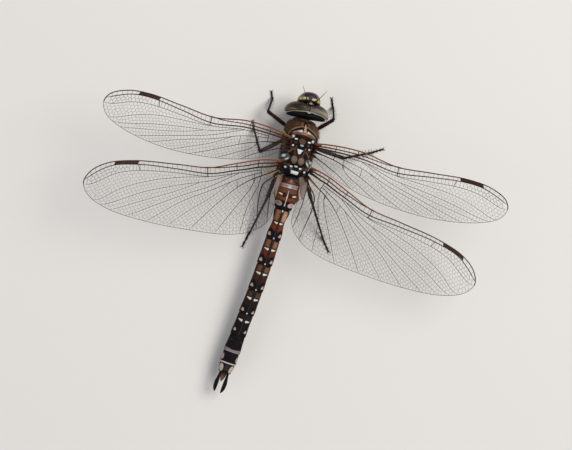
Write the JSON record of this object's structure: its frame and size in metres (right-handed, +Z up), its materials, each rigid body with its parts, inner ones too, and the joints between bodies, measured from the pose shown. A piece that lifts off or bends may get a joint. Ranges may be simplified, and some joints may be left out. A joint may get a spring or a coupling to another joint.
{
  "type": "dragonfly, male migrant hawker, life-size still model",
  "caption": "Brown hawker dragonfly resting on its feet with clear wings spread, slender banded abdomen and large eyes.",
  "frame": {"origin": "middle of the box around the part, on the floor under its six feet", "axes": "+X to the animal's left, +Y towards its tail, +Z up"},
  "size_m": [0.0816, 0.063, 0.023],
  "materials": {
    "eye": "glossy brown-grey compound eye with a paler lower rim",
    "head_shell": "black hard shell behind the eyes",
    "face_plate": "yellowish face plates with a blue-black mark on top",
    "feeler": "black bristle",
    "thorax_shell": "downy brown shell with black seams and pale spots",
    "abdomen_shell": "red-brown to black shell with pale paired spots",
    "clasper": "black claspers",
    "wing": "clear wing membrane with brown veins",
    "leg": "black and dark red-brown spiny legs"
  },
  "bodies": {
    "root": {"eye_left": "eye", "eye_right": "eye", "head": "head_shell", "vertex": "head_shell", "frons": "face_plate", "clypeus": "face_plate", "labrum": "face_plate", "mouthparts": "face_plate", "antenna_left": "feeler", "antenna_right": "feeler", "prothorax": "thorax_shell", "thorax": "thorax_shell", "abdomen_1": "abdomen_shell", "abdomen_2": "abdomen_shell", "abdomen_3": "abdomen_shell", "abdomen_4": "abdomen_shell", "abdomen_5": "abdomen_shell", "abdomen_6": "abdomen_shell", "abdomen_7": "abdomen_shell", "abdomen_8": "abdomen_shell", "abdomen_9": "abdomen_shell", "abdomen_10": "abdomen_shell", "cercus_left": "clasper", "cercus_right": "clasper", "epiproct": "clasper", "wing_fore_left": "wing", "wing_fore_right": "wing", "wing_hind_left": "wing", "wing_hind_right": "wing", "coxa_front_left": "leg", "femur_front_left": "leg", "tibia_front_left": "leg", "tarsus_front_left": "leg", "coxa_front_right": "leg", "femur_front_right": "leg", "tibia_front_right": "leg", "tarsus_front_right": "leg", "coxa_middle_left": "leg", "femur_middle_left": "leg", "tibia_middle_left": "leg", "tarsus_middle_left": "leg", "coxa_middle_right": "leg", "femur_middle_right": "leg", "tibia_middle_right": "leg", "tarsus_middle_right": "leg", "coxa_hind_left": "leg", "femur_hind_left": "leg", "tibia_hind_left": "leg", "tarsus_hind_left": "leg", "coxa_hind_right": "leg", "femur_hind_right": "leg", "tibia_hind_right": "leg", "tarsus_hind_right": "leg"}
  },
  "joints": []
}
